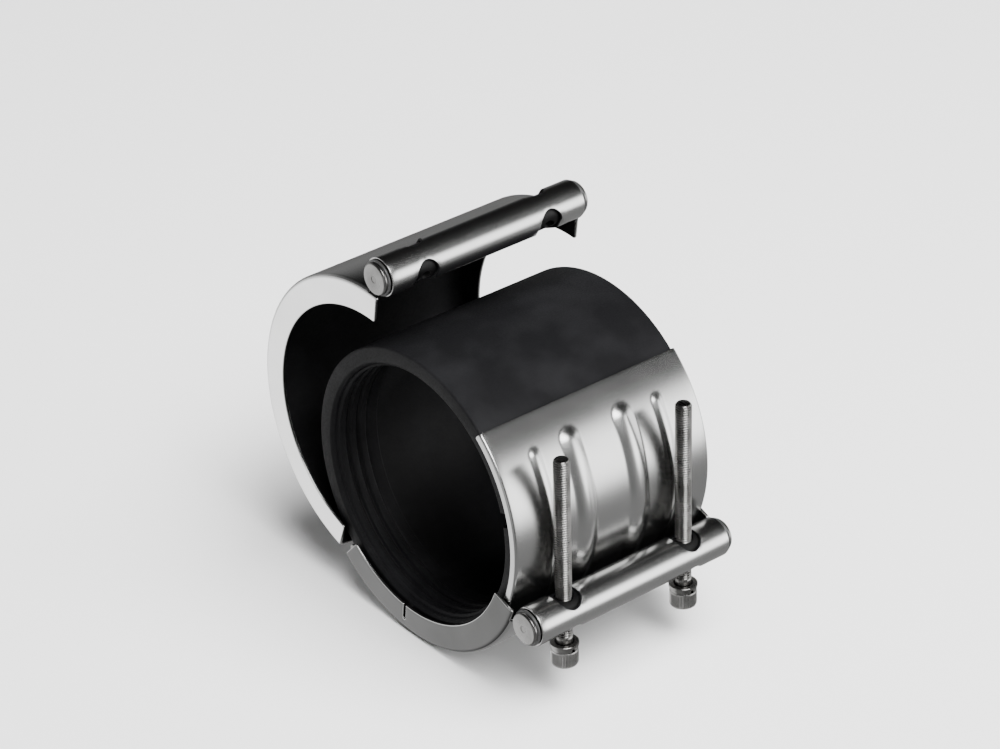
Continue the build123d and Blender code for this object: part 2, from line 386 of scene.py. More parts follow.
# %% [markdown]
# ## Finishes
# The casing and the strip are stainless sheet with a fine rolling grain along their length. The grain
# is a noise stretched along the blank, read from the blank's own flat coordinates, so it follows
# every bend as real grain does. It drives both a slight bump and the roughness, and a slow noise adds
# the uneven, handled look. Bars and screws are turned, so their grain runs round them. Slots, threads
# and grooves get painted shade: an occlusion node finds from the shape alone where the surface is
# closed in, and darkens the colour there. The outer faces of the flanges carry painted light and
# shade, bright on the upper half and dark on the lower.

# %% Shader helpers


def new_material(name, base, roughness, metallic=0.0, **sockets):
    material = bpy.data.materials.new(name)
    material.use_nodes = True
    shader = material.node_tree.nodes["Principled BSDF"]
    shader.inputs["Base Color"].default_value = (*base, 1)
    shader.inputs["Roughness"].default_value = roughness
    shader.inputs["Metallic"].default_value = metallic
    for socket, value in sockets.items():
        shader.inputs[socket.replace("_", " ")].default_value = value
    return material, material.node_tree, shader


def add_node(tree, kind, **values):
    node = tree.nodes.new("ShaderNode" + kind)
    for key, value in values.items():
        if key in node.inputs:
            node.inputs[key].default_value = value
        else:
            setattr(node, key, value)
    return node


def stretched_noise(tree, source, stretch, scale, detail=4.0):
    mapping = add_node(tree, "Mapping")
    mapping.inputs["Scale"].default_value = stretch
    tree.links.new(source, mapping.inputs["Vector"])
    noise = add_node(tree, "TexNoise", Scale=scale, Detail=detail)
    tree.links.new(mapping.outputs["Vector"], noise.inputs["Vector"])
    return noise.outputs["Fac"]


def ramp(tree, source, low, high, from_low=0.3, from_high=0.7):
    node = add_node(tree, "MapRange")
    node.inputs["From Min"].default_value = from_low
    node.inputs["From Max"].default_value = from_high
    node.inputs["To Min"].default_value = low
    node.inputs["To Max"].default_value = high
    tree.links.new(source, node.inputs["Value"])
    return node.outputs["Result"]


def tint(tree, source, dark, light, from_low=0.3, from_high=0.7):
    node = add_node(tree, "ValToRGB")
    node.color_ramp.elements[0].position = from_low
    node.color_ramp.elements[0].color = (*dark, 1)
    node.color_ramp.elements[1].position = from_high
    node.color_ramp.elements[1].color = (*light, 1)
    tree.links.new(source, node.inputs["Fac"])
    return node.outputs["Color"]


def bumped(tree, shader, heights):
    # heights holds (source, distance); each bump stands on the one before
    normal = None
    for source, distance in heights:
        node = add_node(tree, "Bump", Distance=distance)
        node.inputs["Strength"].default_value = 1.0
        tree.links.new(source, node.inputs["Height"])
        if normal:
            tree.links.new(normal, node.inputs["Normal"])
        normal = node.outputs["Normal"]
    tree.links.new(normal, shader.inputs["Normal"])


CREVICE_SHADE_REACH = 2.2 * MM


def painted_crevice_shade(tree, shader, colour):
    # painted shade: the colour falls away where the surface is closed in, in corners, slots and grooves
    closed = add_node(tree, "AmbientOcclusion", Distance=CREVICE_SHADE_REACH)
    closed.samples = 16
    shade = ramp(tree, closed.outputs["AO"], 0.03, 1.0, 0.25, 0.80)
    mix = add_node(tree, "Mix", data_type="RGBA", blend_type="MULTIPLY")
    mix.inputs["Factor"].default_value = 1.0
    tree.links.new(colour, mix.inputs["A"])
    tree.links.new(shade, mix.inputs["B"])
    tree.links.new(mix.outputs["Result"], shader.inputs["Base Color"])


# %% Sheet steel, lining, turned steel, rubber
EVEN = (1.0, 1.0, 1.0)
ALONG_THE_SHEET = (26.0, 1.2, 1.0)
ROUND_THE_BAR = (40.0, 1.0, 1.0)
GRAIN_HEIGHT = 0.0004 * MM
SHEET_WAVE = 0.04 * MM
TURNED_WAVE = 0.02 * MM


def sheet_steel(name, bright, dull, rough):
    material, tree, shader = new_material(name, bright, rough, 1.0)
    blank = add_node(tree, "UVMap", uv_map="blank").outputs["UV"]
    place = add_node(tree, "TexCoord").outputs["Object"]
    grain = stretched_noise(tree, blank, ALONG_THE_SHEET, 12.0, 3.0)
    cloud = stretched_noise(tree, place, EVEN, 28.0, 5.0)
    scuffs = stretched_noise(tree, place, (1.0, 3.0, 1.0), 60.0, 6.0)
    painted_crevice_shade(tree, shader, tint(tree, cloud, dull, bright))
    total = add_node(tree, "Math", operation="ADD")
    tree.links.new(ramp(tree, grain, rough - 0.008, rough + 0.008), total.inputs[0])
    tree.links.new(ramp(tree, scuffs, 0.0, 0.02, 0.45, 0.8), total.inputs[1])
    tree.links.new(total.outputs["Value"], shader.inputs["Roughness"])
    bumped(tree, shader, [(grain, GRAIN_HEIGHT), (cloud, SHEET_WAVE)])
    return material


def turned_steel(name, bright, dull, rough, metallic=1.0):
    material, tree, shader = new_material(name, bright, rough, metallic)
    place = add_node(tree, "TexCoord").outputs["Object"]
    grain = stretched_noise(tree, place, ROUND_THE_BAR, 60.0, 3.0)
    cloud = stretched_noise(tree, place, EVEN, 90.0, 6.0)
    painted_crevice_shade(tree, shader, tint(tree, cloud, dull, bright))
    total = add_node(tree, "Math", operation="ADD")
    tree.links.new(ramp(tree, grain, rough - 0.05, rough + 0.06), total.inputs[0])
    tree.links.new(ramp(tree, cloud, 0.0, 0.15, 0.45, 0.75), total.inputs[1])
    tree.links.new(total.outputs["Value"], shader.inputs["Roughness"])
    bumped(tree, shader, [(grain, GRAIN_HEIGHT), (cloud, TURNED_WAVE)])
    return material


def dark_coat(name, base, rough, grain_scale, height):
    material, tree, shader = new_material(name, base, rough)
    place = add_node(tree, "TexCoord").outputs["Object"]
    grain = stretched_noise(tree, place, EVEN, grain_scale, 8.0)
    dust = stretched_noise(tree, place, EVEN, 35.0, 6.0)
    shader.inputs["Specular IOR Level"].default_value = 0.08
    lighter = tuple(channel * 1.9 + 0.002 for channel in base)
    tree.links.new(tint(tree, dust, base, lighter, 0.45, 0.85), shader.inputs["Base Color"])
    tree.links.new(ramp(tree, grain, rough - 0.08, rough + 0.12), shader.inputs["Roughness"])
    bumped(tree, shader, [(grain, height)])
    return material


casing_steel = sheet_steel("casing_steel", (0.44, 0.44, 0.435), (0.40, 0.40, 0.395), 0.25)
# painted light and painted shade: two copies of one flange steel, near white for the lit upper flanges and
# near black for the shaded lower ones
flange_painted_bright = sheet_steel("flange_painted_bright", (0.90, 0.90, 0.895), (0.80, 0.80, 0.795), 0.34)
shaded_flange = sheet_steel("shaded_flange", (0.095, 0.095, 0.094), (0.07, 0.07, 0.069), 0.34)
strip_steel = sheet_steel("strip_steel", (0.44, 0.44, 0.435), (0.40, 0.40, 0.395), 0.25)
hinge_steel = sheet_steel("hinge_steel", (0.50, 0.50, 0.495), (0.42, 0.42, 0.415), 0.32)
bar_steel = turned_steel("bar_steel", (0.25, 0.248, 0.243), (0.15, 0.148, 0.145), 0.26)
screw_steel = turned_steel("screw_steel", (0.30, 0.296, 0.288), (0.13, 0.128, 0.123), 0.26)
head_steel = turned_steel("head_steel", (0.46, 0.455, 0.446), (0.28, 0.277, 0.27), 0.28)
# painted shade: near-black steel for the drilled screw holes and the bar's length inside its loop, where
# shadow lies
painted_shade_steel = turned_steel("painted_shade_steel", (0.03, 0.03, 0.03), (0.015, 0.015, 0.015), 0.5)
wire_steel = turned_steel("wire_steel", (0.09, 0.09, 0.09), (0.04, 0.04, 0.04), 0.34, 0.6)
# painted shade: the inside of the casing is drawn near-black, for the shaded steel there that mirrors the
# black sleeve
casing_inside_shade = dark_coat("casing_inside_shade", (0.005, 0.005, 0.0055), 0.6, 900.0, 0.03 * MM)
sleeve_rubber = dark_coat("sleeve_rubber", (0.005, 0.005, 0.0055), 0.55, 1400.0, 0.02 * MM)
nylon = dark_coat("retainer_nylon", (0.60, 0.59, 0.54), 0.45, 500.0, 0.01 * MM)
print("materials:", len(bpy.data.materials))

# %% [markdown]
# ## The casing
# Each half is one blank: a wide strip whose two long sides fold inward as flanges, and a narrower
# tongue at the lock end that curls outward into the loop for the lock bar. The tongue has two pairs of
# long slots, where the screws pass and swing. The flange tips run a little past the loop, and the
# lower half has one narrow notch in each flange where it was let in to bend.

# %% Blank and bends
bend_mid = bend_in + sheet_t / 2
flat_half = case_half - bend_in - sheet_t
bend_arc = math.pi / 2 * bend_mid
blank_half = flat_half + bend_arc + (case_mid_r - bend_mid - (case_r - flange_depth))
loop_mid = loop_in + sheet_t / 2
loop_out = loop_in + sheet_t
curl_end = 2 * math.pi - math.acos(loop_in / loop_out) - math.radians(1.0)
slot_r = 6.2 * MM
relief = 5.0 * MM
notch_half, notch_deep = 0.9 * MM, 8.5 * MM
# fine facets stand a hair outside the coarser CAD ones, so the sheet is drawn this much thinner
FACET_SLACK = 0.05 * MM


def folded(u, h):
    # across the width: flat barrel, bend, flange; gives x and radius
    side = -1 if u < 0 else 1
    s = abs(u)
    if s <= flat_half:
        return u, case_mid_r + h
    turn = min((s - flat_half) / bend_mid, math.pi / 2)
    x = flat_half + (bend_mid + h) * math.sin(turn)
    radius = case_mid_r - bend_mid + (bend_mid + h) * math.cos(turn)
    return side * x, radius - max(0.0, s - flat_half - bend_arc)


def casing_rule(centre, bar_angle, sense):
    # sense is +1 where the casing runs on to larger angles from its lock bar, -1 the other way
    outward = Vector((0, math.cos(bar_angle), math.sin(bar_angle)))
    gapward = Vector((0, sense * math.sin(bar_angle), -sense * math.cos(bar_angle)))
    middle = Vector((0, *centre)) + outward * (case_r + loop_in)

    def place(u, v, h):
        if v < 0 and abs(u) <= loop_half + 0.1 * MM:
            turn = -v / loop_mid
            arm = outward * -math.cos(turn) + gapward * math.sin(turn)
            return Vector((u, 0, 0)) + middle + arm * (loop_mid - h)
        x, radius = folded(u, h)
        return Vector((x, 0, 0)) + ring_place(radius, bar_angle + sense * v / case_mid_r, centre)

    return place


def slot_outline(x, low, high):
    # a hole drilled square to the bar, seen on the flat blank, drawn out from angle low to high
    points = []
    for k in range(40):
        angle = 2 * math.pi * k / 40
        swing = high if math.sin(angle) < 0 else low
        across = loop_mid * math.asin(slot_r * math.sin(angle) / loop_mid)
        points.append(Vector((x + slot_r * math.cos(angle), across - loop_mid * swing)))
    return points


def casing_half(name, centre, bar_angle, sense, span, slots, flange_painted_light_shade, notches=()):
    tip_u = flat_half + 0.5 * bend_arc
    end = case_mid_r * span
    tip = -case_mid_r * tip_overrun
    right = [(blank_half, end, 1.2 * MM)]
    for angle in notches:
        v = case_mid_r * angle
        high, low, root = v + notch_half, v - notch_half, blank_half - notch_deep
        right += [(blank_half, high, 0.6 * MM), (root, high, 0.8 * MM)]
        right += [(root, low, 0.8 * MM), (blank_half, low, 0.6 * MM)]
    right += [(blank_half, tip, 1.2 * MM), (tip_u, tip, 0.8 * MM), (tip_u, relief, 0.9 * MM)]
    right += [(loop_half, relief, 1.5 * MM), (loop_half, -loop_mid * curl_end, 2.0 * MM)]
    left = [(-u, v, radius) for u, v, radius in reversed(right)]
    outline = rounded(right + left)
    outline = refine(outline, 1.2 * MM)
    holes = [slot_outline(x, low, high) for x in (-screw_x, screw_x) for low, high in slots]
    bends = [flat_half + bend_arc * k / 8 for k in range(9)]
    flange = spaced(flat_half + bend_arc, blank_half, 2.5 * MM)[1:]
    side = spaced(0, flat_half, 4.0 * MM)[:-1] + bends + flange
    u_lines = sorted({-u for u in side} | set(side))
    v_lines = spaced(-loop_mid * curl_end, 0, 0.8 * MM)[:-1] + spaced(0, end, 2.0 * MM)
    place = casing_rule(centre, bar_angle, sense)

    def skin(u, v, outside):
        # inside the barrel and flanges only the steel is painted near-black as shade, and the outside of a
        # flange is painted bright on the upper half and dark on the lower
        in_loop = v < 0 and abs(u) < loop_half
        if not outside:
            return 0 if in_loop else 1
        return 2 if abs(u) > flat_half + bend_arc / 2 else 0

    thick = sheet_t - FACET_SLACK
    steels = (casing_steel, casing_inside_shade, flange_painted_light_shade)
    return rolled_sheet(name, outline, holes, thick, place, u_lines, v_lines, steels, skin, rim=1)


# %% Lower casing half
up_angle = math.atan2(screw_axis.z, screw_axis.y)
lower_root = lower_bar_angle - math.pi


def lower_slot(direction):
    middle = (direction - lower_root) % (2 * math.pi)
    return middle - lower_in, middle + lower_out


NOTCH_ANGLE = 275.0
lower_span = 2 * math.pi + hinge_angle - half_gap - lower_bar_angle
notch = math.radians(NOTCH_ANGLE) - lower_bar_angle
lower_shell = casing_half("lower_shell_sheet", (0, 0), lower_bar_angle, 1, lower_span,
                          [lower_slot(up_angle), lower_slot(up_angle + math.pi)], shaded_flange, [notch])

# %% Upper casing half
closed_upper = Matrix.Rotation(open_angle, 3, "X") @ (upper_bar - hinge) + hinge
chord_angle = math.atan2(closed_upper.z - lower_bar.z, closed_upper.y - lower_bar.y)
upper_rest_turn = math.radians(12.0)
upper_hole = chord_angle - open_angle - upper_rest_turn
upper_root = upper_bar_angle + math.pi


def upper_slot(direction):
    middle = (upper_root - direction) % (2 * math.pi)
    return middle - upper_on, middle - upper_back


upper_span = upper_bar_angle - (hinge_angle - open_angle) - half_gap
upper_shell = casing_half("upper_shell_sheet", tuple(upper_centre), upper_bar_angle, -1, upper_span,
                          [upper_slot(upper_hole), upper_slot(upper_hole + math.pi)], flange_painted_bright)

# %% [markdown]
# ## The bridging strip
# A thin spring strip lies over the slit in the rubber. Its two ends are left square, its sides are
# hemmed over the sleeve, and four beads are pressed into it to stiffen it: two broad ones in the
# middle and a narrow one behind each screw. A bead is raised in the roll rule itself, so both faces
# of the sheet carry it, as pressing does.

# %% Strip
strip_mid_r = strip_r - strip_t / 2
hem_mid = 0.9 * MM
strip_flat = strip_half - strip_t / 2 - hem_mid
hem_arc = math.pi / 2 * hem_mid
strip_blank = strip_flat + hem_arc + 2.6 * MM
bead_start = (math.radians(145.4) - strip_top) * strip_mid_r
bead_end = (math.radians(213.0) - strip_top) * strip_mid_r
beads = [(-screw_x, 7.0 * MM, 0.8 * MM), (screw_x, 7.0 * MM, 0.8 * MM),
         (-15.7 * MM, 12.0 * MM, 1.6 * MM), (15.7 * MM, 12.0 * MM, 1.6 * MM)]


def bead_height(u, v):
    height = 0.0
    for x, width, tall in beads:
        reach = max(bead_start - v, v - bead_end, 0.0)
        away = math.hypot(u - x, reach) / (width / 2)
        if away < 1:
            height = max(height, tall * math.cos(away * math.pi / 2) ** 1.2)
    return height


def strip_place(u, v, h):
    side = -1 if u < 0 else 1
    s = abs(u)
    x, radius = u, strip_mid_r + h
    if s > strip_flat:
        turn = min((s - strip_flat) / hem_mid, math.pi / 2)
        x = side * (strip_flat + (hem_mid + h) * math.sin(turn))
        radius = strip_mid_r - hem_mid + (hem_mid + h) * math.cos(turn)
        radius -= max(0.0, s - strip_flat - hem_arc)
    return Vector((x, 0, 0)) + ring_place(radius + bead_height(u, v), strip_top + v / strip_mid_r)


strip_length = (strip_foot - strip_top) * strip_mid_r
corner = 0.8 * MM
outline = rounded([(strip_blank, 0, corner), (strip_blank, strip_length, corner),
                   (-strip_blank, strip_length, corner), (-strip_blank, 0, corner)])
hem_lines = [strip_flat + hem_arc * k / 6 for k in range(7)] + [strip_blank - 1.2 * MM]
side = spaced(0, 46 * MM, 0.8 * MM) + spaced(46 * MM, strip_flat, 3 * MM)[1:-1] + hem_lines
strip_insert = rolled_sheet("strip_insert_sheet", refine(outline, 1.2 * MM), [], strip_t, strip_place,
                            sorted({-u for u in side} | set(side)), spaced(0, strip_length, 1.2 * MM),
                            (strip_steel,))

# %% [markdown]
# ## The rubber sleeve
# One moulded section is carried round the pipe and stops at the slit. The section has three sealing
# ridges each side and a thin tongue behind them that the water presses on to the pipe. Its corners are
# rounded, because rubber out of a mould never has a sharp edge.

# %% Sleeve
ridge_pitch, ridge_width, ridge_depth = 6.0 * MM, 3.0 * MM, 1.5 * MM
tongue_length, tongue_thick, pocket_reach, web = 5.0 * MM, 2.2 * MM, 12.0 * MM, 4.5 * MM


def sleeve_outline():
    land = lip_r + ridge_depth
    points = [(sleeve_half, sleeve_r, 1.2 * MM), (sleeve_half, land + 1.5 * MM, 1.0 * MM)]
    points.append((sleeve_half - 1.5 * MM, land, 1.0 * MM))
    x = sleeve_half - 3.0 * MM
    for _ in range(3):
        points += [(x, land, 0.6 * MM), (x - ridge_depth / 2, lip_r, 0.6 * MM)]
        points += [(x - ridge_depth / 2 - ridge_width, lip_r, 0.6 * MM)]
        points += [(x - ridge_depth - ridge_width, land, 0.6 * MM)]
        x -= ridge_pitch
    block = x + ridge_pitch - ridge_depth - ridge_width - 1.5 * MM
    tongue = block - tongue_length
    points += [(block, lip_r + ridge_depth / 2, 0.8 * MM), (tongue, lip_r, 0.6 * MM)]
    points += [(tongue, lip_r + tongue_thick, 0.6 * MM)]
    points += [(tongue + pocket_reach, sleeve_r - web - tongue_thick / 2, 0.8 * MM)]
    points += [(tongue, sleeve_r - web, 1.5 * MM)]
    return rounded(points + [(-x, r, radius) for x, r, radius in reversed(points)], 3)


def swept_ring(name, outline, start, end, step, materials):
    turns = spaced(start, end, step)
    verts, faces = [], []
    for turn in turns:
        verts += [Vector((p.x, 0, 0)) + ring_place(p.y, turn) for p in outline]
    size = len(outline)
    for row in range(len(turns) - 1):
        for k in range(size):
            after = (k + 1) % size
            low, high = row * size, (row + 1) * size
            faces.append((low + k, low + after, high + after, high + k))
    faces += [tuple(range(size)), tuple(range((len(turns) - 1) * size, len(turns) * size))]
    return new_piece(name, verts, faces, materials)


half_slit = math.asin(4.0 * MM / sleeve_r)
slit = math.radians(165.0)
sealing_sleeve = swept_ring("sealing_sleeve_rubber", sleeve_outline(), slit + half_slit,
                            slit + 2 * math.pi - half_slit, math.radians(1.5), (sleeve_rubber,))
print("sleeve faces:", len(sealing_sleeve.data.polygons))

# %% [markdown]
# ## Lock bars and their wire rings
# A lock bar is turned from 16 mm round stock: chamfered ends, a faint lathe ring on each face, and a
# groove for the wire ring that keeps it in its loop. It is a turned profile with the screw holes
# drilled through it afterwards; drilling with a boolean gives the true saddle-shaped hole edge.

# %% Bars
wire_r = 0.8 * MM
wire_x = loop_half + 0.3 * MM + wire_r


def bar_rows():
    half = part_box("lower_lock_bar")[1].x
    rows = [(half - 0.25 * MM, 1.6 * MM), (half - 0.05 * MM, 1.9 * MM), (half, 2.3 * MM)]
    rows += [(half, bar_r - 1.0 * MM), (half - 0.08 * MM, bar_r - 0.7 * MM)]
    rows += [(half - 0.7 * MM, bar_r - 0.08 * MM), (half - 1.0 * MM, bar_r)]
    groove = [(math.cos(math.pi * k / 6), math.sin(math.pi * k / 6)) for k in range(7)]
    size = wire_r + 0.03 * MM
    rows += [(wire_x + size * c, bar_r - size * s) for c, s in groove]
    rows += [(x, bar_r) for x in reversed(spaced(2 * MM, loop_half - 2 * MM, 3 * MM))]
    return rows + [(-z, r) for z, r in reversed(rows)]


def drill(piece, centre, angle, radius, chamfer_r):
    for x in (-screw_x, screw_x):
        direction = Vector((0, math.cos(angle), math.sin(angle)))
        place = frame_along(Vector((x, centre.y, centre.z)), direction)
        reach = bar_r - 0.7 * MM
        rows = [(-2 * bar_r, chamfer_r * 2.2), (-reach, radius), (reach, radius)]
        rows.append((2 * bar_r, chamfer_r * 2.2))
        cutter = turned("cutter", rows, place, 64, (painted_shade_steel,))
        carve(piece, [cutter])


def lock_bar(name, centre, angle, hole_r):
    place = frame_along(Vector((0, centre.y, centre.z)), Vector((1, 0, 0)))
    bar = turned(name, bar_rows(), place, 96, (bar_steel,))
    drill(bar, centre, angle, hole_r, hole_r + 0.3 * MM)
    # painted shade: the length inside the loop lies in the loop's shadow, so it is drawn near-black
    slots = [slot.material.name for slot in bar.material_slots]
    for face in bar.data.polygons:
        if abs(face.center.x) < loop_half - 1 * MM:
            face.material_index = slots.index("painted_shade_steel")
    print(name, "faces:", len(bar.data.polygons))
    return bar


lower_lock_bar = lock_bar("lower_lock_bar_turned", lower_bar, up_angle, 4.4 * MM)
upper_lock_bar = lock_bar("upper_lock_bar_turned", upper_bar, upper_hole, 3.4 * MM)


def wire_ring(name, x, centre, turn, ring_r, gap):
    # a round wire bent into an open ring, with ball ends
    verts, faces = [], []
    steps, around = 72, 14
    size = wire_r
    for k in range(steps + 1):
        along = turn + gap / 2 + (2 * math.pi - gap) * k / steps
        end = min(k, steps - k)
        fat = size * (0.55, 0.85, 1.0)[min(end, 2)]
        for m in range(around):
            angle = 2 * math.pi * m / around
            spot = ring_place(ring_r + fat * math.cos(angle), along, (centre.y, centre.z))
            verts.append(spot + Vector((x + fat * math.sin(angle), 0, 0)))
    for k in range(steps):
        for m in range(around):
            after = (m + 1) % around
            low, high = k * around, (k + 1) * around
            faces.append((low + m, low + after, high + after, high + m))
    faces += [tuple(range(around)), tuple(range(steps * around, (steps + 1) * around))]
    return new_piece(name, verts, faces, (wire_steel,))


wire_gap = math.radians(40.0)
rings = {}
for side, sign in (("left", -1), ("right", 1)):
    for bar_name, centre, turn in (("lower", lower_bar, 0.0), ("upper", upper_bar, -open_angle)):
        node = f"{bar_name}_bar_{side}_ring"
        rings[node] = wire_ring(node + "_wire", sign * wire_x, centre, turn, bar_r, wire_gap)

# %% [markdown]
# ## Screws
# M8 socket head screws, 100 mm under the head, with the thread cut nearly to the head. The thread is a
# real helix: rings of points whose radius follows a 60 degree V that climbs 1.25 mm a turn, fading
# out at both ends. The head has a fine straight knurl and a 6 mm hexagon socket.

# %% Screw
THREAD_PITCH = 1.25 * MM
screw_r = 3.95 * MM
thread_depth = 0.62 * MM
head_r, head_h, head_seat = 6.5 * MM, 8.0 * MM, 20.2 * MM
screw_length = 100.0 * MM
hex_flats, hex_depth = 6.0 * MM, 4.0 * MM
KNURLS = 60
HEAD_SEGMENTS, SHANK_SEGMENTS = 360, 40


def knurled(depth):
    return lambda angle: head_r - depth * (0.5 - 0.5 * math.cos(angle * KNURLS))


def hexagon(angle):
    sixth = math.pi / 3
    return hex_flats / 2 / math.cos((angle + sixth / 2) % sixth - sixth / 2)


def screw_head_rows():
    low = -head_seat - head_h
    rows = [(low + hex_depth, 0.3 * MM), (low + hex_depth - 1.2 * MM, hexagon), (low + 0.25 * MM, hexagon)]
    rows += [(low, lambda angle: hexagon(angle) + 0.25 * MM), (low, head_r - 0.9 * MM)]
    rows += [(low + 0.25 * MM, head_r - 0.35 * MM), (low + 0.8 * MM, head_r - 0.12 * MM)]
    rows += [(low + 1.2 * MM, knurled(0.32 * MM)), (-head_seat - 0.9 * MM, knurled(0.32 * MM))]
    rows += [(-head_seat - 0.6 * MM, head_r - 0.12 * MM), (-head_seat - 0.1 * MM, head_r - 0.25 * MM)]
    rows.append((-head_seat, head_r - 0.4 * MM))
    return rows


def threaded_radius(z, angle):
    top = screw_length - head_seat
    start = -head_seat + 6.0 * MM
    phase = (z / THREAD_PITCH - angle / (2 * math.pi)) % 1.0
    groove = max(0.0, 1 - abs(phase - 0.5) / 0.42)
    fade = min(1.0, max(0.0, (z - start) / (1.5 * MM)))
    radius = screw_r - thread_depth * groove * fade
    tip = top - z
    if tip < 1.1 * MM:
        radius = min(radius, screw_r - thread_depth - 0.15 * MM + tip * 0.75)
    return radius


def screw(name, x, spin):
    # head and shank are two closed shells, the shank running a little way into the head
    place = frame_along(Vector((x, lower_bar.y, lower_bar.z)), screw_axis) @ Matrix.Rotation(spin, 4, "Z")
    head = turned(name + "_head", screw_head_rows(), place, HEAD_SEGMENTS, (screw_steel, head_steel))
    head.data.polygons.foreach_set("material_index", [1] * len(head.data.polygons))
    rows = []
    low, high = -head_seat - 0.5 * MM, screw_length - head_seat
    count = round((high - low) / (THREAD_PITCH / 8))
    for k in range(count + 1):
        z = low + (high - low) * k / count
        rows.append((z, lambda angle, z=z: threaded_radius(z, angle)))
    rows.append((high, 1.2 * MM))
    shank = turned(name, rows, place, SHANK_SEGMENTS, (screw_steel, head_steel))
    shank.data.set_sharp_from_angle(angle=math.radians(60))
    joined = bmesh.new()
    joined.from_mesh(shank.data)
    joined.from_mesh(head.data)
    joined.to_mesh(shank.data)
    joined.free()
    bpy.data.objects.remove(head, do_unlink=True)
    print(name, "faces:", len(shank.data.polygons))
    return shank


def washer(name, x, low, thick, inner, outer):
    place = frame_along(Vector((x, lower_bar.y, lower_bar.z)), screw_axis)
    soft = 0.2 * MM
    rows = [(low + soft, inner), (low, inner + soft), (low, outer - soft), (low + soft, outer)]
    rows += [(low + thick - soft, outer), (low + thick, outer - soft), (low + thick, inner + soft)]
    rows += [(low + thick - soft, inner)]
    return turned(name, rows, place, 96, (screw_steel,), closed=True)


def spring_washer(name, x, low, thick, inner, outer):
    # one turn of flat wire, its two cut ends a little out of line
    place = frame_along(Vector((x, lower_bar.y, lower_bar.z)), screw_axis)
    verts, faces = [], []
    steps, gap, rise = 72, math.radians(14), 0.3 * MM
    soft = 0.15 * MM
    tall = thick - rise
    corners = rounded([(inner, 0, soft), (outer, 0, soft), (outer, tall, soft), (inner, tall, soft)], 2)
    for k in range(steps + 1):
        turn = -math.pi / 2 + gap / 2 + (2 * math.pi - gap) * k / steps
        lift = low + rise * k / steps
        verts += [place @ Vector((c.x * math.cos(turn), c.x * math.sin(turn), lift + c.y)) for c in corners]
    size = len(corners)
    for k in range(steps):
        for m in range(size):
            after = (m + 1) % size
            faces.append((k * size + m, k * size + after, (k + 1) * size + after, (k + 1) * size + m))
    faces += [tuple(range(size)), tuple(range(steps * size, (steps + 1) * size))]
    return new_piece(name, verts, faces, (screw_steel,))


spring_t, washer_t, washer_bore = 2.0 * MM, 1.6 * MM, 4.3 * MM
screws, washers, springs = {}, {}, {}
for side, x, spin in (("left", -screw_x, 0.3), ("right", screw_x, 1.1)):
    screws[side] = screw(side + "_screw_threaded", x, spin)
    seat = -head_seat
    springs[side] = spring_washer(side + "_spring_washer_wire", x, seat, spring_t, washer_bore, 6.35 * MM)
    washers[side] = washer(side + "_washer_turned", x, seat + spring_t, washer_t, washer_bore, 6.8 * MM)

# %% [markdown]
# ## The hinge at the back
# Two leaves are spot welded to the casing. Their fingers curl round one pin, three from the lower half
# and two from the upper, and push-on clips hold the pin at its ends. The leaves are rolled sheet too:
# a comb-shaped blank whose teeth become the knuckles. Each spot weld is a shallow round dimple.

# %% Hinge leaves and pin
leaf_t = 1.5 * MM
leaf_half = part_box("lower_hinge_leaf")[1].x
pin_r = 2.0 * MM
knuckle_mid = 2.05 * MM + leaf_t / 2
leaf_mid_r = case_r + 0.05 * MM + leaf_t / 2
pin_ring = math.hypot(hinge.y, hinge.z)
root_r = pin_ring - knuckle_mid
knuckle_end = math.radians(315)
weld_spots = [(u * MM, 14.5 * MM) for u in (-40, -24, -8, 8, 24, 40)]


def leaf_rule(centre, base_angle, sense):
    outward = Vector((0, math.cos(base_angle), math.sin(base_angle)))
    forward = Vector((0, sense * math.sin(base_angle), -sense * math.cos(base_angle)))
    middle = Vector((0, *hinge.yz))

    def place(u, v, h):
        if v < 0:
            turn = -v / knuckle_mid
            arm = outward * -math.cos(turn) + forward * math.sin(turn)
            return Vector((u, 0, 0)) + middle + arm * (knuckle_mid - h)
        lift = (root_r - leaf_mid_r) * max(0.0, 1 - v / (6 * MM)) ** 2
        dent = sum(0.22 * MM * math.exp(-((u - a) ** 2 + (v - b) ** 2) / (1.7 * MM) ** 2)
                   for a, b in weld_spots) if h > 0 else 0.0
        radius = leaf_mid_r + lift + h - dent
        return Vector((u, 0, 0)) + ring_place(radius, base_angle + sense * v / leaf_mid_r, centre)

    return place


def hinge_leaf(name, centre, base_angle, sense, fingers):
    pitch = 2 * leaf_half / 5
    root, far = 6.4 * MM, leaf_mid_r * math.radians(18.0)
    end = -knuckle_mid * knuckle_end
    corners = [(-leaf_half, far, 3 * MM), (-leaf_half, root, 0.5 * MM)]
    for index in fingers:
        low = -leaf_half + index * pitch + 0.2 * MM
        high = low + pitch - 0.4 * MM
        corners += [(low, root, 0.8 * MM), (low, end, 0.6 * MM)]
        corners += [(high, end, 0.6 * MM), (high, root, 0.8 * MM)]
    corners += [(leaf_half, root, 0.5 * MM), (leaf_half, far, 3 * MM)]
    if fingers[0] == 0:
        corners = [corners[0]] + corners[3:-3] + [corners[-1]]
    outline = refine(rounded(corners, 3), 1.0 * MM)
    u_lines = spaced(-leaf_half, leaf_half, 1.6 * MM)
    v_lines = spaced(end, 0, 0.5 * MM)[:-1] + spaced(0, far, 0.8 * MM)
    return rolled_sheet(name, outline, [], leaf_t, leaf_rule(centre, base_angle, sense),
                        u_lines, v_lines, (hinge_steel,))


lower_leaf = hinge_leaf("lower_hinge_leaf_sheet", (0, 0), hinge_angle, -1, (0, 2, 4))
upper_leaf = hinge_leaf("upper_hinge_leaf_sheet", tuple(upper_centre), hinge_angle - open_angle, 1, (1, 3))


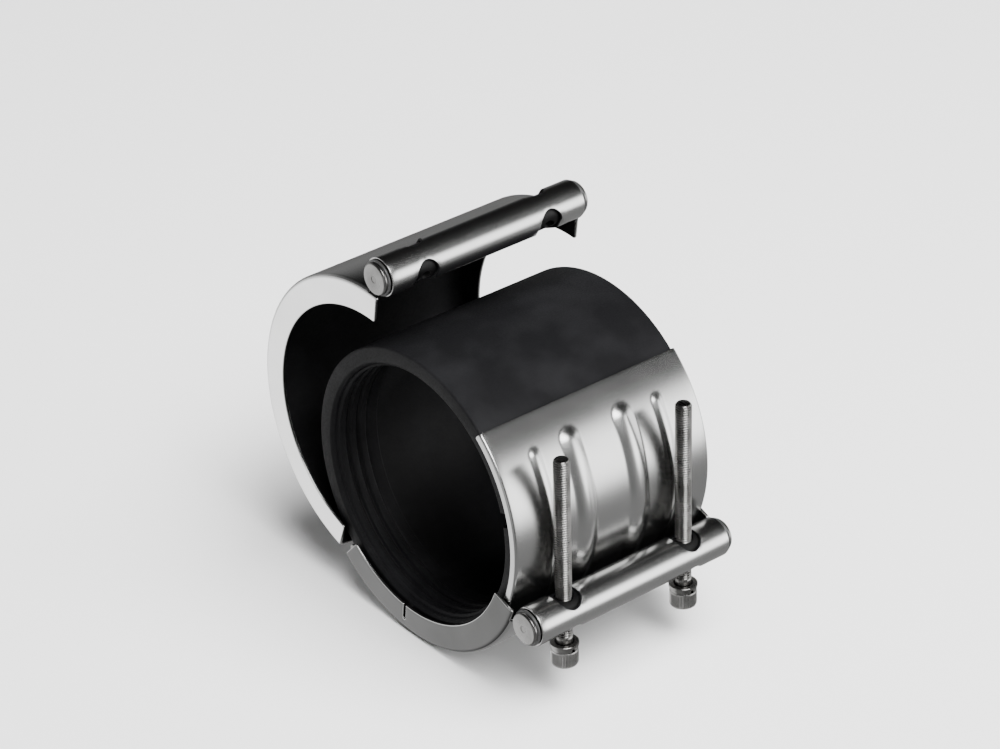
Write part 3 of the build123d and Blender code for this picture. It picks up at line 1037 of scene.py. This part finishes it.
def dome_pin():
    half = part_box("hinge_pin")[1].x
    dome = 0.5 * MM
    rows = []
    for k in range(6):
        angle = math.pi / 2 * (1 - k / 5)
        rows.append((half - dome * (1 - math.sin(angle)), pin_r - dome * (1 - math.cos(angle))))
    rows += [(-z, r) for z, r in reversed(rows)]
    place = frame_along(Vector((0, *hinge.yz)), Vector((1, 0, 0)))
    return turned("hinge_pin_turned", rows, place, 48, (bar_steel,))


hinge_pin = dome_pin()

# %% [markdown]
# ## Riding on the bodies
# Each piece rides on the body it belongs to and stands for its CAD node, so it moves with the joints.
# The two nylon retainers and the pin clips keep their CAD shape, and only get their finish.

# %% Bodies, slots and stand-ins


def belongs(piece, body, node):
    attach(piece, body)
    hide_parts(node)


belongs(lower_shell, "lower_case", "lower_shell")
belongs(upper_shell, "upper_case", "upper_shell")
belongs(lower_leaf, "lower_case", "lower_hinge_leaf")
belongs(upper_leaf, "upper_case", "upper_hinge_leaf")
belongs(hinge_pin, "lower_case", "hinge_pin")
belongs(strip_insert, "lower_case", "strip_insert")
belongs(sealing_sleeve, "lower_case", "sealing_sleeve")
belongs(lower_lock_bar, "lower_bar", "lower_lock_bar")
belongs(upper_lock_bar, "upper_bar", "upper_lock_bar")
for node, ring in rings.items():
    belongs(ring, node.split("_")[0] + "_bar", node)
for side in ("left", "right"):
    belongs(screws[side], side + "_screw", side + "_screw")
    belongs(washers[side], side + "_washers", side + "_washer")
    belongs(springs[side], side + "_washers", side + "_spring_washer")
    for node, material in ((side + "_screw_retainer", nylon), (f"hinge_pin_{side}_clip", wire_steel)):
        frame["nodes"][node].data.materials[0] = material
print("wire rings:", len(rings), "screws:", len(screws), "washers:", len(washers) + len(springs))

# %% [markdown]
# ## Floor and light
# Steel shows the room, so the room is drawn as a studio would set it: grey below, bright and even
# near the horizon, darker overhead, with soft panels where a highlight is wanted and dark cards where
# a dark band is. The round bars and the curved strip then carry one bright band with a dark one above
# it. A room value depends on direction in the world only, so it stays put when the camera moves. The
# floor is kept out of the reflections, or it would wash out the undersides. One large soft light gives
# the floor its shadow.

# %% Floor
FLOOR = 30.0
FLOOR_GAP = 0.2 * MM
floor_mesh = bpy.data.meshes.new("floor")
floor_mesh.from_pydata([(-FLOOR, -FLOOR, 0), (FLOOR, -FLOOR, 0), (FLOOR, FLOOR, 0), (-FLOOR, FLOOR, 0)],
                       [], [(0, 1, 2, 3)])
floor = bpy.data.objects.new("floor", floor_mesh)
floor.location = (0, 0, cad_low.z - FLOOR_GAP)
bpy.context.collection.objects.link(floor)
floor_paint, tree, shader = new_material("floor_paint", (0.92, 0.92, 0.92), 0.9)
floor_mesh.materials.append(floor_paint)
floor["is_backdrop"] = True
floor.visible_glossy = False
print("floor at height", round(floor.location.z / MM, 1), "mm")

# %% World
world = bpy.data.worlds.new("studio")
bpy.context.scene.world = world
world.use_nodes = True
tree = world.node_tree
background = tree.nodes["Background"]
direction = add_node(tree, "TexCoord").outputs["Generated"]
axes = add_node(tree, "SeparateXYZ")
tree.links.new(direction, axes.inputs["Vector"])


def room_value(source, low, high, from_low, from_high):
    value = ramp(tree, source, low, high, from_low, from_high)
    value.node.interpolation_type = "SMOOTHSTEP"
    return value


def toward_spot(way, low, high, outer, inner):
    # goes from low to high as the direction comes within outer and then inner degrees of the way given
    lean = add_node(tree, "VectorMath", operation="DOT_PRODUCT")
    lean.inputs[1].default_value = Vector(way).normalized()
    tree.links.new(direction, lean.inputs[0])
    wide, narrow = (math.cos(math.radians(spread)) for spread in (outer, inner))
    return room_value(lean.outputs["Value"], low, high, wide, narrow)


def combined(operation, first, second):
    node = add_node(tree, "Math", operation=operation)
    tree.links.new(first, node.inputs[0])
    tree.links.new(second, node.inputs[1])
    return node.outputs["Value"]


# dark cards and soft panels: the way to it, its value, and the outer and inner spread in degrees
dark_cards = {"over the back": ((0.55, 0.35, 0.76), 0.08, 52, 26),
              "low at the back": ((0.55, 0.83, 0.05), 0.35, 34, 14),
              "beside the camera": ((-0.30, -0.95, 0.05), 0.35, 36, 12)}
soft_panels = {"front right": ((0.60, -0.78, 0.12), 5.5, 25, 8),
               "far right": ((0.93, -0.36, -0.02), 3.2, 24, 8),
               "low at the left": ((-0.56, 0.66, -0.50), 1.8, 40, 18),
               "overhead": ((-0.10, -0.60, 0.79), 14.0, 21, 13)}
below = room_value(axes.outputs["Z"], 0.42, 0.9, -0.34, -0.04)
room = combined("MULTIPLY", below, room_value(axes.outputs["Z"], 1.0, 0.14, 0.05, 0.50))
for way, value, outer, inner in dark_cards.values():
    room = combined("MULTIPLY", room, toward_spot(way, 1.0, value, outer, inner))
for way, value, outer, inner in soft_panels.values():
    room = combined("ADD", room, toward_spot(way, 0.0, value, outer, inner))
tree.links.new(room, background.inputs["Color"])
background.inputs["Strength"].default_value = 1.0
print("dark cards:", ", ".join(dark_cards), "- soft panels:", ", ".join(soft_panels))

# %% Lamps


def soft_lamp(name, azimuth, elevation, distance, size, power):
    # lights the surfaces, and stays out of the reflections, which are the room's
    lamp = bpy.data.objects.new(name, bpy.data.lights.new(name, "AREA"))
    lamp.data.energy = power
    lamp.data.size = size
    a, e = math.radians(azimuth), math.radians(elevation)
    way = Vector((math.sin(a) * math.cos(e), -math.cos(a) * math.cos(e), math.sin(e)))
    lamp.location = way * distance
    lamp.rotation_euler = (-way).to_track_quat("-Z", "Y").to_euler()
    lamp.visible_glossy = False
    bpy.context.collection.objects.link(lamp)


soft_lamp("top_light", azimuth=20, elevation=70, distance=1.8, size=1.4, power=95)

# %% [markdown]
# ## The size, measured again
# The looks must not change the object's size, so the box round everything is measured again and
# printed beside the box of the CAD model. The two should agree to a fraction of a millimetre.

# %% Sizes measured again, and the end
seen_low, seen_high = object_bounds()
boxes = {"cad": [list(cad_low), list(cad_high)], "visual": [list(seen_low), list(seen_high)]}
print("CAD box", boxes["cad"], "visual box", boxes["visual"])
